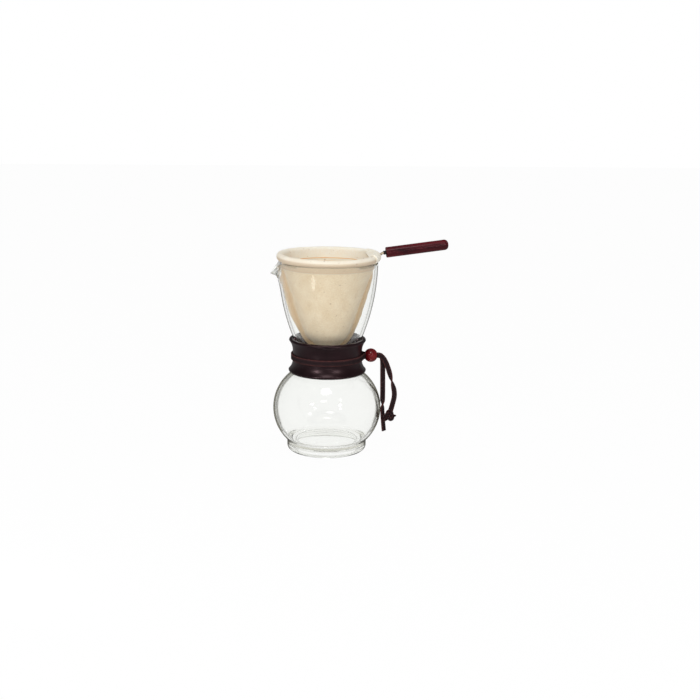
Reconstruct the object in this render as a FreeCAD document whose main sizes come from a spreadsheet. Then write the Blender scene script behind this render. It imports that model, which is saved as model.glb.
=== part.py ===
"""Cloth-filter drip pot: a glass server with a tied wooden collar, and a flannel bag on a wire ring.

Millimetres. The origin is on the pot's axis in the plane it stands on. +Z is up, +X points to the handle.
"""
import FreeCAD, Part
import math
import os

import Sketcher

# Driving dimensions: name, number, meaning
DIMENSIONS = [
    ("glass_wall", 2.5, "wall of the server"),
    ("foot_radius", 40.5, "outer radius of the foot"),
    ("foot_corner", 5.0, "rounding under the foot"),
    ("foot_toe", 1.5, "width of the flat ring that the foot stands on"),
    ("foot_height", 10.91, "crease between foot and bulb above the table"),
    ("hollow_depth", 8.0, "hollow under the foot"),
    ("hollow_corner", 3.0, "rounding inside that hollow"),
    ("hollow_draft", 0.6, "how much narrower that hollow is at its top"),
    ("floor_wall", 3.0, "glass between that hollow and the inside floor"),
    ("floor_corner", 16.0, "rounding between floor and bulb"),
    ("bulb_radius", 55.0, "largest radius of the bulb"),
    ("bulb_arc", 45.0, "radius of the bulb's profile"),
    ("waist_radius", 27.0, "outer radius of the waist"),
    ("low_waist_arc", 19.16, "radius of the profile between bulb and waist"),
    ("high_waist_arc", 11.1, "radius of the profile between waist and funnel"),
    ("rim_radius", 50.0, "outer radius of the rim"),
    ("funnel_height", 98.2, "from the waist to the rim"),
    ("spout_drop", 12.2, "drop of the lip's tip below the rim"),
    ("spout_reach", 8.4, "reach of the lip past the rim"),
    ("spout_depth", 11.0, "height of the pulled wall under the tip"),
    ("spout_bulge", 3.2, "how far the pulled wall stands out below the tip"),
    ("spout_half_width", 15.0, "half width of the lip at the wall"),
    ("spout_belly", 7.0, "half width of the pulled wall under the lip"),
    ("spout_tip", 2.6, "half width of the lip's tip"),
    ("spout_beak", 2.4, "height of the overhanging beak"),
    ("spout_lip", 4.0, "channel's end behind the lip's tip"),
    ("collar_clearance", 0.3, "between collar and glass"),
    ("collar_drop", 15.5, "collar's lower face below the waist"),
    ("collar_height", 35.0, "height of the collar"),
    ("collar_low_wall", 4.0, "wood round the bore at the lower flare"),
    ("collar_top_wall", 4.0, "wood round the bore at the upper lip"),
    ("collar_seat_wall", 8.3, "from the glass at the waist to the seat of the lace"),
    ("collar_seat_low", 12.5, "lower end of the seat above the collar's lower face"),
    ("collar_seat_length", 10.0, "length of the seat"),
    ("collar_low_corner", 2.5, "rounding of the lower flare"),
    ("collar_top_corner", 1.5, "rounding of the upper lip"),
    ("lace_width", 5.2, "width of the flat lace"),
    ("lace_thickness", 1.7, "thickness of the lace"),
    ("lace_clearance", 0.15, "between lace and collar, and between its two strands"),
    ("lace_turn", 3.5, "inner radius where a strand turns into the bead"),
    ("lace_drop", 1.2, "middle of the lace below the middle of its seat"),
    ("bead_diameter", 14.0, "bead"),
    ("bead_gap", 0.4, "between the wrap and the bead"),
    ("bead_clearance", 0.3, "between the strands and the bore of the bead"),
    ("knot_length", 9.5, "knot along the lace"),
    ("knot_diameter", 8.0, "knot across the lace"),
    ("knot_long_end", 3.3, "pointed end of the lace below the knot"),
    ("knot_short_end", 3.4, "short end of the lace beside the knot"),
    ("wire_diameter", 2.0, "wire of the ring"),
    ("wire_clearance", 0.15, "round the wire in its casing and socket"),
    ("ring_inset", 0.45, "middle of the ring's wire inside the middle of the rim"),
    ("ring_leg_angle", 8.0, "where each leg leaves the ring, in degrees from the handle"),
    ("leg_spacing", 2.4, "between the middles of the two legs"),
    ("leg_bend", 4.0, "radius of the bend before the handle"),
    ("hem_radius", 3.0, "radius of the rolled hem"),
    ("hem_clearance", 0.3, "between the hem and the glass"),
    ("hem_height", 13.0, "from the top of the roll to the hem's lower edge"),
    ("hem_thickness", 1.8, "doubled cloth below the roll"),
    ("hem_lap", 0.75, "lower edge of the hem inside the roll"),
    ("hem_notch", 12.0, "half angle of the open roll at the legs, in degrees"),
    ("notch_depth", 2.4, "that opening below the middle of the wire"),
    ("tab_width", 5.3, "cloth tab from the hem's inside to its straight edge"),
    ("tab_lap", 0.6, "cloth tab inside the roll"),
    ("cloth_thickness", 1.2, "flannel of the bag"),
    ("bag_gap", 6.5, "bag's lowest edge above the waist"),
    ("bag_tip_radius", 25.0, "rounding of the bag's tip"),
    ("flange_width", 4.5, "seam flange at the tip"),
    ("flange_thickness", 0.8, "seam flange of one panel"),
    ("grip_diameter", 10.6, "handle"),
    ("grip_length", 63.5, "handle"),
    ("grip_reach", 9.8, "from the ring's wire to the handle's face, along X"),
    ("grip_rise", 5.0, "handle's face above the ring's wire"),
    ("grip_tilt", 7.4, "slope of the handle, in degrees"),
    ("grip_dome", 4.0, "rounding of the far end"),
    ("grip_edge", 0.6, "rounding of the near end"),
    ("socket_depth", 20.0, "socket for the legs"),
    ("ferrule_wall", 0.6, "wall of the ferrule"),
    ("ferrule_out", 2.5, "ferrule outside the handle"),
    ("ferrule_in", 4.0, "ferrule inside the handle"),
]

# A turn of 60 degrees, which keeps every arc of a full round well under a half circle
SIN_60 = math.sqrt(3) / 2

# Middle lines of the two hanging tails as (X, Y, Z), measured from the ends of their strands
STRAIGHT_TAIL = [(0, 0, 0), (3.8, 0, 0), (6.0, 0.2, -2.6), (6.6, 0.6, -8.2), (6.8, 1.2, -16), (7.2, 2.2, -30),
                 (7.6, 3.2, -46), (7.2, 3.6, -61), (9.6, 3.9, -82)]
KNOTTED_TAIL = [(0, 0, 0), (4.2, 0, 0), (8.4, -0.3, -4.8), (12.4, -1.0, -14.5), (15.6, -2.0, -27),
                (19.4, -2.8, -40), (16.6, -3.2, -52), (14.6, -3.4, -59)]


class Size:
    """A number together with the sheet expression that gives it."""

    def __init__(self, number, text):
        self.number = number
        self.text = text

    def join(self, other, sign, number):
        return Size(number, f"({self.text} {sign} {as_size(other).text})")

    def __add__(self, other):
        return self.join(other, "+", self.number + as_size(other).number)

    def __sub__(self, other):
        return self.join(other, "-", self.number - as_size(other).number)

    def __mul__(self, other):
        return self.join(other, "*", self.number * as_size(other).number)

    def __truediv__(self, other):
        return self.join(other, "/", self.number / as_size(other).number)

    def __neg__(self):
        return Size(-self.number, f"(-1 * {self.text})")

    def __radd__(self, other):
        return as_size(other) + self

    def __rsub__(self, other):
        return as_size(other) - self

    def __rmul__(self, other):
        return as_size(other) * self


def as_size(value):
    return value if isinstance(value, Size) else Size(float(value), f"{value:.12g}")


def root(size):
    return Size(math.sqrt(size.number), f"sqrt({size.text})")


def sine(size):
    return Size(math.sin(math.radians(size.number)), f"sin({size.text} * 1 deg)")


def make_sheet(document):
    sheet = document.addObject("Spreadsheet::Sheet", "sizes")
    for row, (name, number, meaning) in enumerate(DIMENSIONS, start=1):
        sheet.set(f"A{row}", meaning)
        sheet.set(f"B{row}", f"{number:g}")
        sheet.setAlias(f"B{row}", name)
    document.recompute()
    return {name: Size(float(sheet.get(name)), f"sizes.{name}") for name, _, _ in DIMENSIONS}


doc = FreeCAD.newDocument("drip_pot")
size = make_sheet(doc)


# Sketches and features
def make_body(label):
    body = doc.addObject("PartDesign::Body", label)
    body.Label = label
    return body


def make_sketch(body, name, plane, lift=None):
    """Put an empty sketch on one of the body's own planes, lifted along the plane's normal."""
    sketch = body.newObject("Sketcher::SketchObject", name)
    support = next(item for item in body.Origin.OriginFeatures if item.Role == plane)
    sketch.AttachmentSupport = [(support, "")]
    sketch.MapMode = "FlatFace"
    if lift is not None:
        sketch.setExpression("AttachmentOffset.Base.z", lift.text)
        sketch.AttachmentOffset.Base.z = lift.number
    return sketch


def bind(sketch, kind, geometry, point, value):
    """Fix one coordinate of a point to a size."""
    index = sketch.addConstraint(Sketcher.Constraint(kind, geometry, point, value.number))
    sketch.setExpression(f"Constraints[{index}]", value.text)


def arc_between(first, last, radius, turn):
    """Circular arc from first to last: turn 1 keeps the centre on the left, -1 on the right."""
    middle = (first + last) * 0.5
    along = last - first
    half = along.Length / 2
    side = FreeCAD.Vector(-along.y, along.x, 0).normalize() * turn
    centre = middle + side * math.sqrt(max(radius * radius - half * half, 0))
    start, end = (first, last) if turn > 0 else (last, first)
    angles = [math.atan2(point.y - centre.y, point.x - centre.x) for point in (start, end)]
    if angles[1] < angles[0]:
        angles[1] += 2 * math.pi
    circle = Part.Circle(centre, FreeCAD.Vector(0, 0, 1), radius)
    return Part.ArcOfCircle(circle, angles[0], angles[1])


def draw(sketch, corners):
    """Draw a closed outline.

    Each corner is (x, y), or (x, y, radius, turn) where an arc leads to the next corner.
    """
    spots = [FreeCAD.Vector(as_size(c[0]).number, as_size(c[1]).number, 0) for c in corners]
    edges = []
    for index, corner in enumerate(corners):
        first = spots[index]
        last = spots[(index + 1) % len(corners)]
        if len(corner) == 2:
            edges.append((sketch.addGeometry(Part.LineSegment(first, last), False), 1, 2))
            continue
        radius, turn = corner[2:]
        edge = sketch.addGeometry(arc_between(first, last, radius.number, turn), False)
        edges.append((edge, 1, 2) if turn > 0 else (edge, 2, 1))
    for index, (edge, start, _) in enumerate(edges):
        before, _, before_end = edges[index - 1]
        sketch.addConstraint(Sketcher.Constraint("Coincident", before, before_end, edge, start))
        bind(sketch, "DistanceX", edge, start, as_size(corners[index][0]))
        bind(sketch, "DistanceY", edge, start, as_size(corners[index][1]))
        if len(corners[index]) > 2:
            radius = corners[index][2]
            place = sketch.addConstraint(Sketcher.Constraint("Radius", edge, radius.number))
            sketch.setExpression(f"Constraints[{place}]", radius.text)


def add_circle(sketch, x, y, radius):
    place = FreeCAD.Vector(x.number, y.number, 0)
    circle = sketch.addGeometry(Part.Circle(place, FreeCAD.Vector(0, 0, 1), radius.number), False)
    bind(sketch, "DistanceX", circle, 3, x)
    bind(sketch, "DistanceY", circle, 3, y)
    index = sketch.addConstraint(Sketcher.Constraint("Radius", circle, radius.number))
    sketch.setExpression(f"Constraints[{index}]", radius.text)


def turn_profile(body, name, corners, kind="Revolution", axis="V_Axis", angle=360, reverse=False):
    """Revolve an outline in the XZ plane about one of its axes."""
    sketch = make_sketch(body, f"{name}_outline", "XZ_Plane")
    draw(sketch, corners)
    feature = body.newObject(f"PartDesign::{kind}", name)
    feature.Profile = sketch
    feature.ReferenceAxis = (sketch, [axis])
    feature.Angle = angle
    feature.Reversed = reverse
    return sketch


def extrude(body, name, plane, corners, length, kind="Pad", side="One side", reverse=False, lift=None):
    sketch = make_sketch(body, f"{name}_outline", plane, lift)
    draw(sketch, corners)
    feature = body.newObject(f"PartDesign::{kind}", name)
    feature.Profile = sketch
    feature.SideType = side
    feature.Reversed = reverse
    feature.Length = length.number
    feature.setExpression("Length", length.text)
    return feature


def loft(body, name, kind, sections):
    """Join outlines that lie at several heights; each is (height, corners)."""
    sketches = []
    for number, (height, corners) in enumerate(sections):
        sketch = make_sketch(body, f"{name}_section_{number}", "XY_Plane", height)
        draw(sketch, corners)
        sketches.append(sketch)
    feature = body.newObject(f"PartDesign::{kind}", name)
    feature.Profile = sketches[0]
    feature.Sections = sketches[1:]
    feature.Ruled = True


def place_body(body, x, z, tilt=None):
    body.setExpression("Placement.Base.x", x.text)
    body.setExpression("Placement.Base.z", z.text)
    turn = FreeCAD.Rotation(FreeCAD.Vector(0, -1, 0), tilt.number if tilt else 0)
    body.Placement = FreeCAD.Placement(FreeCAD.Vector(x.number, 0, z.number), turn)
    if tilt:
        body.setExpression("Placement.Rotation.Angle", tilt.text)


# Shared curves of the glass: each wall line is the outer one moved inwards by an offset
bulb_centre = size["bulb_radius"] - size["bulb_arc"]
low_waist_arc = size["low_waist_arc"]
high_waist_arc = size["high_waist_arc"]


def other_side(long_side, side):
    """Third side of a right-angled triangle."""
    return root(long_side * long_side - side * side)


bulb_height = size["foot_height"] + other_side(size["bulb_arc"], size["foot_radius"] - bulb_centre)
bulb_to_waist = other_side(size["bulb_arc"] + low_waist_arc, size["waist_radius"] + low_waist_arc - bulb_centre)
waist_height = bulb_height + bulb_to_waist
rim_height = waist_height + size["funnel_height"]

# The funnel's arc is upright at the rim and runs smoothly into the waist's arc
opening = size["rim_radius"] - size["waist_radius"]
past_waist = opening - high_waist_arc
funnel_arc = ((past_waist * past_waist + size["funnel_height"] * size["funnel_height"]
               - high_waist_arc * high_waist_arc) / (opening * 2))
funnel_centre = size["rim_radius"] - funnel_arc


def low_joint(offset):
    """Point where the bulb runs into the waist."""
    share = (size["bulb_arc"] - offset) / (size["bulb_arc"] + low_waist_arc)
    reach = size["waist_radius"] + low_waist_arc - bulb_centre
    return bulb_centre + share * reach, bulb_height + share * bulb_to_waist


def high_joint(offset):
    """Point where the waist runs into the funnel."""
    share = (funnel_arc - offset) / (funnel_arc + high_waist_arc)
    reach = size["waist_radius"] + high_waist_arc - funnel_centre
    return funnel_centre + share * reach, rim_height - share * size["funnel_height"]


def on_funnel(height, offset):
    """Radius of the funnel at a height."""
    drop = rim_height - height
    return funnel_centre + other_side(funnel_arc - offset, drop)


def wall_line(start, offset):
    """Corners from a start on the bulb up to the funnel's top."""
    low_x, low_z = low_joint(offset)
    high_x, high_z = high_joint(offset)
    return [
        (start[0], start[1], size["bulb_arc"] - offset, 1),
        (low_x, low_z, low_waist_arc + offset, -1),
        (size["waist_radius"] - offset, waist_height, high_waist_arc + offset, -1),
        (high_x, high_z, funnel_arc - offset, 1),
    ]


def make_glass_server():
    body = make_body("glass_server")
    wall = size["glass_wall"]
    lip = wall / 2
    rim = rim_height
    shoulder = rim - lip
    outer_top = on_funnel(shoulder, as_size(0))
    inner_top = on_funnel(shoulder, wall)
    crest = outer_top - lip
    foot = size["foot_radius"]
    stand = foot - size["foot_corner"]
    hollow = stand - size["foot_toe"]
    hollow_top = hollow - size["hollow_draft"]
    deep = size["hollow_depth"]
    turn_profile(body, "outer_form", [
        (0, deep),
        (hollow_top - size["hollow_corner"], deep, size["hollow_corner"], -1),
        (hollow_top, deep - size["hollow_corner"]),
        (hollow, 0),
        (stand, 0, size["foot_corner"], 1),
        (foot, size["foot_corner"]),
        *wall_line((foot, size["foot_height"]), as_size(0)),
        (outer_top, shoulder, lip, 1),
        (crest, rim),
        (0, rim),
    ])
    tip_height = rim - size["spout_drop"]
    beak_height = tip_height - size["spout_beak"]
    start_height = beak_height - size["spout_depth"]
    start_radius = on_funnel(start_height, as_size(0))
    tip = size["rim_radius"] + size["spout_reach"]
    bulge = on_funnel(beak_height, as_size(0)) + size["spout_bulge"]
    half = size["spout_half_width"]
    belly = size["spout_belly"]
    point = size["spout_tip"]
    above = rim + wall

    def lip_outline(back, half_width, front, half_point):
        """Wedge that narrows from the wall to a round tip at front."""
        nose_arc = half_point / SIN_60
        nose = nose_arc / 2
        return [
            (-back, half_width),
            (-(front - nose), half_point, nose_arc, 1),
            (-(front - nose), -half_point),
            (-back, -half_width),
        ]

    # Shares of the lip's own sizes: its width where the pull starts, its thinned wall, its drawn-out end
    root_share = 0.6
    thinned = 0.6
    drawn_out = 0.4

    def sections(offset, set_back):
        """Heights and outlines of the pulled wall, moved inwards by an offset, with its tip set back."""
        back = size["rim_radius"] - wall - half * drawn_out
        narrow = half - offset
        reach = tip - set_back
        end = point - offset * drawn_out
        start = lip_outline(back, half * root_share, start_radius - offset, belly * root_share)
        return [
            (start_height + offset, start),
            (beak_height + offset, lip_outline(back, narrow, bulge - offset, belly - offset * thinned)),
            (tip_height + offset * thinned, lip_outline(back, narrow, reach, end)),
            (above, lip_outline(back, narrow, reach + wall, end)),
        ]

    loft(body, "pulled_lip", "AdditiveLoft", sections(as_size(0), 0))
    floor = deep + size["floor_wall"]
    corner = size["floor_corner"]
    inner_arc = size["bulb_arc"] - wall
    swing = inner_arc - corner
    fall = bulb_height - floor - corner
    flat = other_side(swing, fall)
    share = inner_arc / swing
    bend = (bulb_centre + flat * share, bulb_height - fall * share)
    turn_profile(body, "inner_form", [
        (0, floor),
        (bulb_centre + flat, floor, corner, 1),
        *wall_line(bend, wall),
        (inner_top, shoulder, lip, -1),
        (crest, rim),
        (crest, above),
        (0, above),
    ], kind="Groove")
    loft(body, "pouring_channel", "SubtractiveLoft", sections(wall, size["spout_lip"]))
    edge = crest - wall
    far = tip + half
    extrude(body, "lip_slope", "XZ_Plane", [
        (-edge, rim),
        (-edge, above + wall),
        (-far, above + wall),
        (-far, tip_height - lip),
        (-tip, tip_height),
    ], half * 4, kind="Pocket", side="Symmetric")
    return body


# Collar: its bore follows the glass, and its outside stands on the bore
collar_gap = -size["collar_clearance"]
collar_bottom = waist_height - size["collar_drop"]
collar_top = collar_bottom + size["collar_height"]
seat_radius = size["waist_radius"] + size["collar_seat_wall"]
seat_low = collar_bottom + size["collar_seat_low"]
seat_high = seat_low + size["collar_seat_length"]


def make_collar_half(label, rear):
    body = make_body(label)
    low_arc = low_waist_arc + collar_gap
    bore_low = size["waist_radius"] + low_waist_arc - other_side(low_arc, size["collar_drop"])
    bore_top = on_funnel(collar_top, collar_gap)
    flare, flare_corner = bore_low + size["collar_low_wall"], size["collar_low_corner"]
    lip, lip_corner = bore_top + size["collar_top_wall"], size["collar_top_corner"]
    high_x, high_z = high_joint(collar_gap)

    def hollow_arc(across, along):
        """Radius of a hollow that runs smoothly out of the seat."""
        return (across * across + along * along) / (across * 2)

    turn_profile(body, f"{label}_form", [
        (bore_low, collar_bottom),
        (flare - flare_corner, collar_bottom, flare_corner, 1),
        (flare, collar_bottom + flare_corner,
         hollow_arc(flare - seat_radius, size["collar_seat_low"] - flare_corner), -1),
        (seat_radius, seat_low),
        (seat_radius, seat_high, hollow_arc(lip - seat_radius, collar_top - lip_corner - seat_high), -1),
        (lip, collar_top - lip_corner, lip_corner, 1),
        (lip - lip_corner, collar_top),
        (bore_top, collar_top, funnel_arc - collar_gap, -1),
        (high_x, high_z, high_waist_arc + collar_gap, 1),
        (size["waist_radius"] - collar_gap, waist_height, low_arc, 1),
    ], angle=180, reverse=not rear)
    return body


# Lace, bead and knot share these places
lace_middle = (seat_low + seat_high) / 2 - size["lace_drop"]
wrap_inner = seat_radius + size["lace_clearance"]
wrap_outer = wrap_inner + size["lace_thickness"]
strand_inner = size["lace_clearance"] / 2
strand_outer = strand_inner + size["lace_thickness"]
half_lace = size["lace_width"] / 2
bead_radius = size["bead_diameter"] / 2
bead_bore = root(strand_outer * strand_outer + half_lace * half_lace) + size["bead_clearance"]
bead_half_length = other_side(bead_radius, bead_bore)
bead_place = wrap_outer + size["bead_gap"] + bead_radius
strand_end = bead_place + bead_half_length


def make_tie_band():
    """One turn of lace round the collar whose ends turn outwards side by side."""
    body = make_body("tie_band")
    turn = size["lace_turn"]
    hub_y = strand_outer + turn
    reach = wrap_outer + turn
    hub_x = other_side(reach, hub_y)
    share = wrap_outer / reach
    throat = other_side(wrap_inner, strand_inner)
    extrude(body, "lace_turn_form", "XY_Plane", [
        (strand_end, strand_inner),
        (strand_end, strand_outer),
        (hub_x, strand_outer, turn, -1),
        (hub_x * share, hub_y * share, wrap_outer, 1),
        (-wrap_outer / 2, wrap_outer * SIN_60, wrap_outer, 1),
        (-wrap_outer / 2, -wrap_outer * SIN_60, wrap_outer, 1),
        (hub_x * share, -(hub_y * share), turn, -1),
        (hub_x, -strand_outer),
        (strand_end, -strand_outer),
        (strand_end, -strand_inner),
        (throat, -strand_inner, wrap_inner, -1),
        (-wrap_inner / 2, -wrap_inner * SIN_60, wrap_inner, -1),
        (-wrap_inner / 2, wrap_inner * SIN_60, wrap_inner, -1),
        (throat, strand_inner),
    ], size["lace_width"], lift=lace_middle - half_lace)
    return body


def make_tie_bead():
    body = make_body("tie_bead")
    turn_profile(body, "bead_form", [
        (bead_half_length, bead_bore, bead_radius, 1),
        (0, bead_radius, bead_radius, 1),
        (-bead_half_length, bead_bore),
    ], axis="H_Axis")
    place_body(body, bead_place, lace_middle)
    return body


def rounded_route(points):
    """Straight runs joined by tangent arcs, each as large as its two runs allow; also the radii."""
    edges = []
    radii = []
    last = points[0]
    for before, here, after in zip(points, points[1:], points[2:]):
        into = (here - before).normalize()
        out = (after - here).normalize()
        half_turn = into.getAngle(out) / 2
        cut = 0.45 * min((here - before).Length, (after - here).Length)
        radii.append(cut / math.tan(half_turn))
        start = here - into * cut
        end = here + out * cut
        inward = (out - into).normalize()
        middle = here + inward * (radii[-1] / math.cos(half_turn) - radii[-1])
        edges.append(Part.LineSegment(last, start).toShape())
        edges.append(Part.Arc(start, middle, end).toShape())
        last = end
    edges.append(Part.LineSegment(last, points[-1]).toShape())
    return Part.Wire(edges), radii


def make_tail(label, route, side):
    """Flat lace hung from the end of one strand; side is 1 behind the middle plane and -1 before it."""
    depth = side * (strand_inner.number + size["lace_thickness"].number / 2)
    start = FreeCAD.Vector(strand_end.number, depth, lace_middle.number)
    points = [start + FreeCAD.Vector(*spot) for spot in route]
    path, radii = rounded_route(points)
    half_width = size["lace_width"].number / 2
    half_depth = size["lace_thickness"].number / 2
    corners = [(-1, -1), (1, -1), (1, 1), (-1, 1), (-1, -1)]
    section = Part.makePolygon([start + FreeCAD.Vector(0, y * half_depth, z * half_width) for y, z in corners])
    tail = doc.addObject("Part::Feature", label)
    tail.Label = label
    tail.Shape = path.makePipeShell([section], True, False)
    expected = path.Length * size["lace_width"].number * size["lace_thickness"].number
    print(f"{label}: length {path.Length:.1f}, radii {[round(radius, 1) for radius in radii]}")
    print(f"{label}: volume {tail.Shape.Volume:.1f}, section times length {expected:.1f}")
    return tail, points[-1], (points[-1] - points[-2]).normalize()


def make_tie_knot(end, along):
    """Overhand knot below the tail: a lump of two turns with the lace's two short ends."""
    body = make_body("tie_knot")
    length = size["knot_length"]
    radius = size["knot_diameter"] / 2
    upper_turn = length / 3
    groove_height = length / 2
    groove = radius - size["lace_thickness"] / 4
    swell = radius - half_lace
    shoulder_arc = (upper_turn * upper_turn + swell * swell) / (swell * 2)
    turn_profile(body, "knot_form", [
        (0, 0),
        (half_lace, 0, shoulder_arc, -1),
        (radius, -upper_turn, upper_turn, -1),
        (groove, -groove_height, upper_turn, -1),
        (half_lace, -length),
        (0, -length),
    ])
    thick = size["lace_thickness"]
    low_end = -(length + size["knot_long_end"])
    side_end = radius + size["knot_short_end"]
    extrude(body, "knot_long_end", "XZ_Plane", [
        (-half_lace, -groove_height),
        (half_lace, -groove_height),
        (0, low_end),
        (-(half_lace + thick), low_end + thick),
    ], thick, side="Symmetric")
    extrude(body, "knot_short_end", "XZ_Plane", [
        (0, -(groove_height - half_lace / 2)),
        (side_end, -(groove_height - half_lace)),
        (side_end, -groove_height),
        (0, -(groove_height + half_lace)),
    ], thick, side="Symmetric")
    lean = FreeCAD.Rotation(FreeCAD.Vector(0, 0, -1), along)
    body.Placement = FreeCAD.Placement(end, lean)
    return body


# Filter: the ring rests on the rim by its rolled hem
ring_height = rim_height + size["hem_clearance"] + size["hem_radius"]
hem_top = ring_height + size["hem_radius"]
hem_bottom = hem_top - size["hem_height"]
ring_radius = size["rim_radius"] - size["glass_wall"] / 2 - size["ring_inset"]
hem_inner = ring_radius - size["hem_radius"]
mouth_inner = hem_inner - size["hem_lap"]
tip_middle = waist_height + size["bag_gap"] + size["flange_width"] + size["bag_tip_radius"]
leg_room = size["wire_diameter"] / 2 + size["wire_clearance"]


def make_filter_hem():
    """Doubled cloth rolled round the wire, open at the legs, with a flat tab at the handle's end."""
    body = make_body("filter_hem")
    roll = size["hem_radius"]
    ring = ring_radius
    low_x = ring - roll / 2
    low_z = ring_height - roll * SIN_60
    sketch = turn_profile(body, "hem_form", [
        (mouth_inner, hem_bottom),
        (mouth_inner + size["hem_thickness"], hem_bottom),
        (low_x, low_z, roll, 1),
        (ring + roll * SIN_60, ring_height - roll / 2, roll, 1),
        (ring, hem_top, roll, 1),
        (hem_inner, ring_height),
    ])
    add_circle(sketch, ring, ring_height, leg_room)
    chord = hem_inner - size["tab_width"]
    tab_radius = hem_inner + size["tab_lap"]
    tab_half = other_side(tab_radius, chord)
    extrude(body, "handle_tab", "XY_Plane", [
        (chord, -tab_half, tab_radius, 1),
        (chord, tab_half),
    ], size["hem_thickness"], lift=ring_height)
    notch = ring * sine(size["hem_notch"])
    open_at = tab_radius + size["hem_clearance"]
    extrude(body, "leg_notch", "XY_Plane", [
        (open_at, -notch),
        (ring + roll * 2, -notch),
        (ring + roll * 2, notch),
        (open_at, notch),
    ], roll * 3, kind="Pocket", reverse=True, lift=ring_height - size["notch_depth"])
    return body


def bag_side(top_radius, radius):
    """Where a straight side from the hem touches the round tip."""
    up = hem_bottom - tip_middle
    square = top_radius * top_radius + up * up
    along = radius * radius / square
    across = radius * root(square - radius * radius) / square
    return along * top_radius + across * up, tip_middle + along * up - across * top_radius


def make_filter_panel(label, rear):
    """Half of the bag: a cone that ends in a round tip, with its half of the seam flange."""
    body = make_body(label)
    cloth = size["cloth_thickness"]
    tip = size["bag_tip_radius"]
    outer_top = mouth_inner + cloth
    outer_x, outer_z = bag_side(outer_top, tip)
    inner_x, inner_z = bag_side(mouth_inner, tip - cloth)
    turn_profile(body, f"{label}_form", [
        (0, tip_middle - tip, tip, 1),
        (outer_x, outer_z),
        (outer_top, hem_bottom),
        (mouth_inner, hem_bottom),
        (inner_x, inner_z, tip - cloth, -1),
        (0, tip_middle - tip + cloth),
    ], angle=180, reverse=not rear)
    middle_top = mouth_inner + cloth / 2
    seam = tip - cloth / 2
    edge = tip + size["flange_width"]
    seam_x, seam_z = bag_side(middle_top, seam)
    edge_x, edge_z = bag_side(outer_top, edge)
    extrude(body, f"{label}_flange", "XZ_Plane", [
        (outer_top, hem_bottom),
        (middle_top, hem_bottom),
        (seam_x, seam_z, seam, -1),
        (0, tip_middle - seam, seam, -1),
        (-seam_x, seam_z),
        (-middle_top, hem_bottom),
        (-outer_top, hem_bottom),
        (-edge_x, edge_z, edge, 1),
        (0, tip_middle - edge, edge, 1),
        (edge_x, edge_z),
    ], size["flange_thickness"], reverse=rear)
    return body


# Handle: the grip, its ferrule and the ends of the legs share one sloping axis
face_x = ring_radius + size["grip_reach"]
face_z = ring_height + size["grip_rise"]
leg_half_room = size["leg_spacing"] / 2
ferrule_room = leg_room + size["ferrule_wall"]


def slot_outline(radius):
    """Outline that goes round both legs."""
    rise = radius * SIN_60
    return [
        (-leg_half_room, -radius),
        (leg_half_room, -radius, radius, 1),
        (leg_half_room + rise, -(radius / 2), radius, 1),
        (leg_half_room, radius),
        (-leg_half_room, radius, radius, 1),
        (-(leg_half_room + rise), radius / 2, radius, 1),
    ]


def make_handle_ferrule():
    body = make_body("handle_ferrule")
    length = size["ferrule_out"] + size["ferrule_in"]
    start = -size["ferrule_out"]
    extrude(body, "ferrule_sleeve", "YZ_Plane", slot_outline(ferrule_room), length, lift=start)
    extrude(body, "ferrule_hole", "YZ_Plane", slot_outline(leg_room), length, "Pocket",
            reverse=True, lift=start)
    place_body(body, face_x, face_z, size["grip_tilt"])
    return body


def make_handle_grip():
    body = make_body("handle_grip")
    radius = size["grip_diameter"] / 2
    length = size["grip_length"]
    edge = size["grip_edge"]
    dome = size["grip_dome"]
    turn_profile(body, "grip_form", [
        (0, 0),
        (length, 0),
        (length, radius - dome, dome, 1),
        (length - dome, radius),
        (edge, radius, edge, 1),
        (0, radius - edge),
    ], axis="H_Axis")
    start = as_size(0)
    extrude(body, "leg_socket", "YZ_Plane", slot_outline(leg_room), size["socket_depth"], "Pocket",
            reverse=True, lift=start)
    extrude(body, "ferrule_seat", "YZ_Plane", slot_outline(ferrule_room), size["ferrule_in"], "Pocket",
            reverse=True, lift=start)
    place_body(body, face_x, face_z, size["grip_tilt"])
    return body


def bend_arc(start, into, out, radius):
    """Arc that leaves start along into and ends along out; returns the edge and its end."""
    angle = into.getAngle(out)
    inward = (out - into * into.dot(out)).normalize()

    def spot(turned):
        return start + inward * (radius * (1 - math.cos(turned))) + into * (radius * math.sin(turned))

    return Part.Arc(start, spot(angle / 2), spot(angle)).toShape(), spot(angle)


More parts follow.
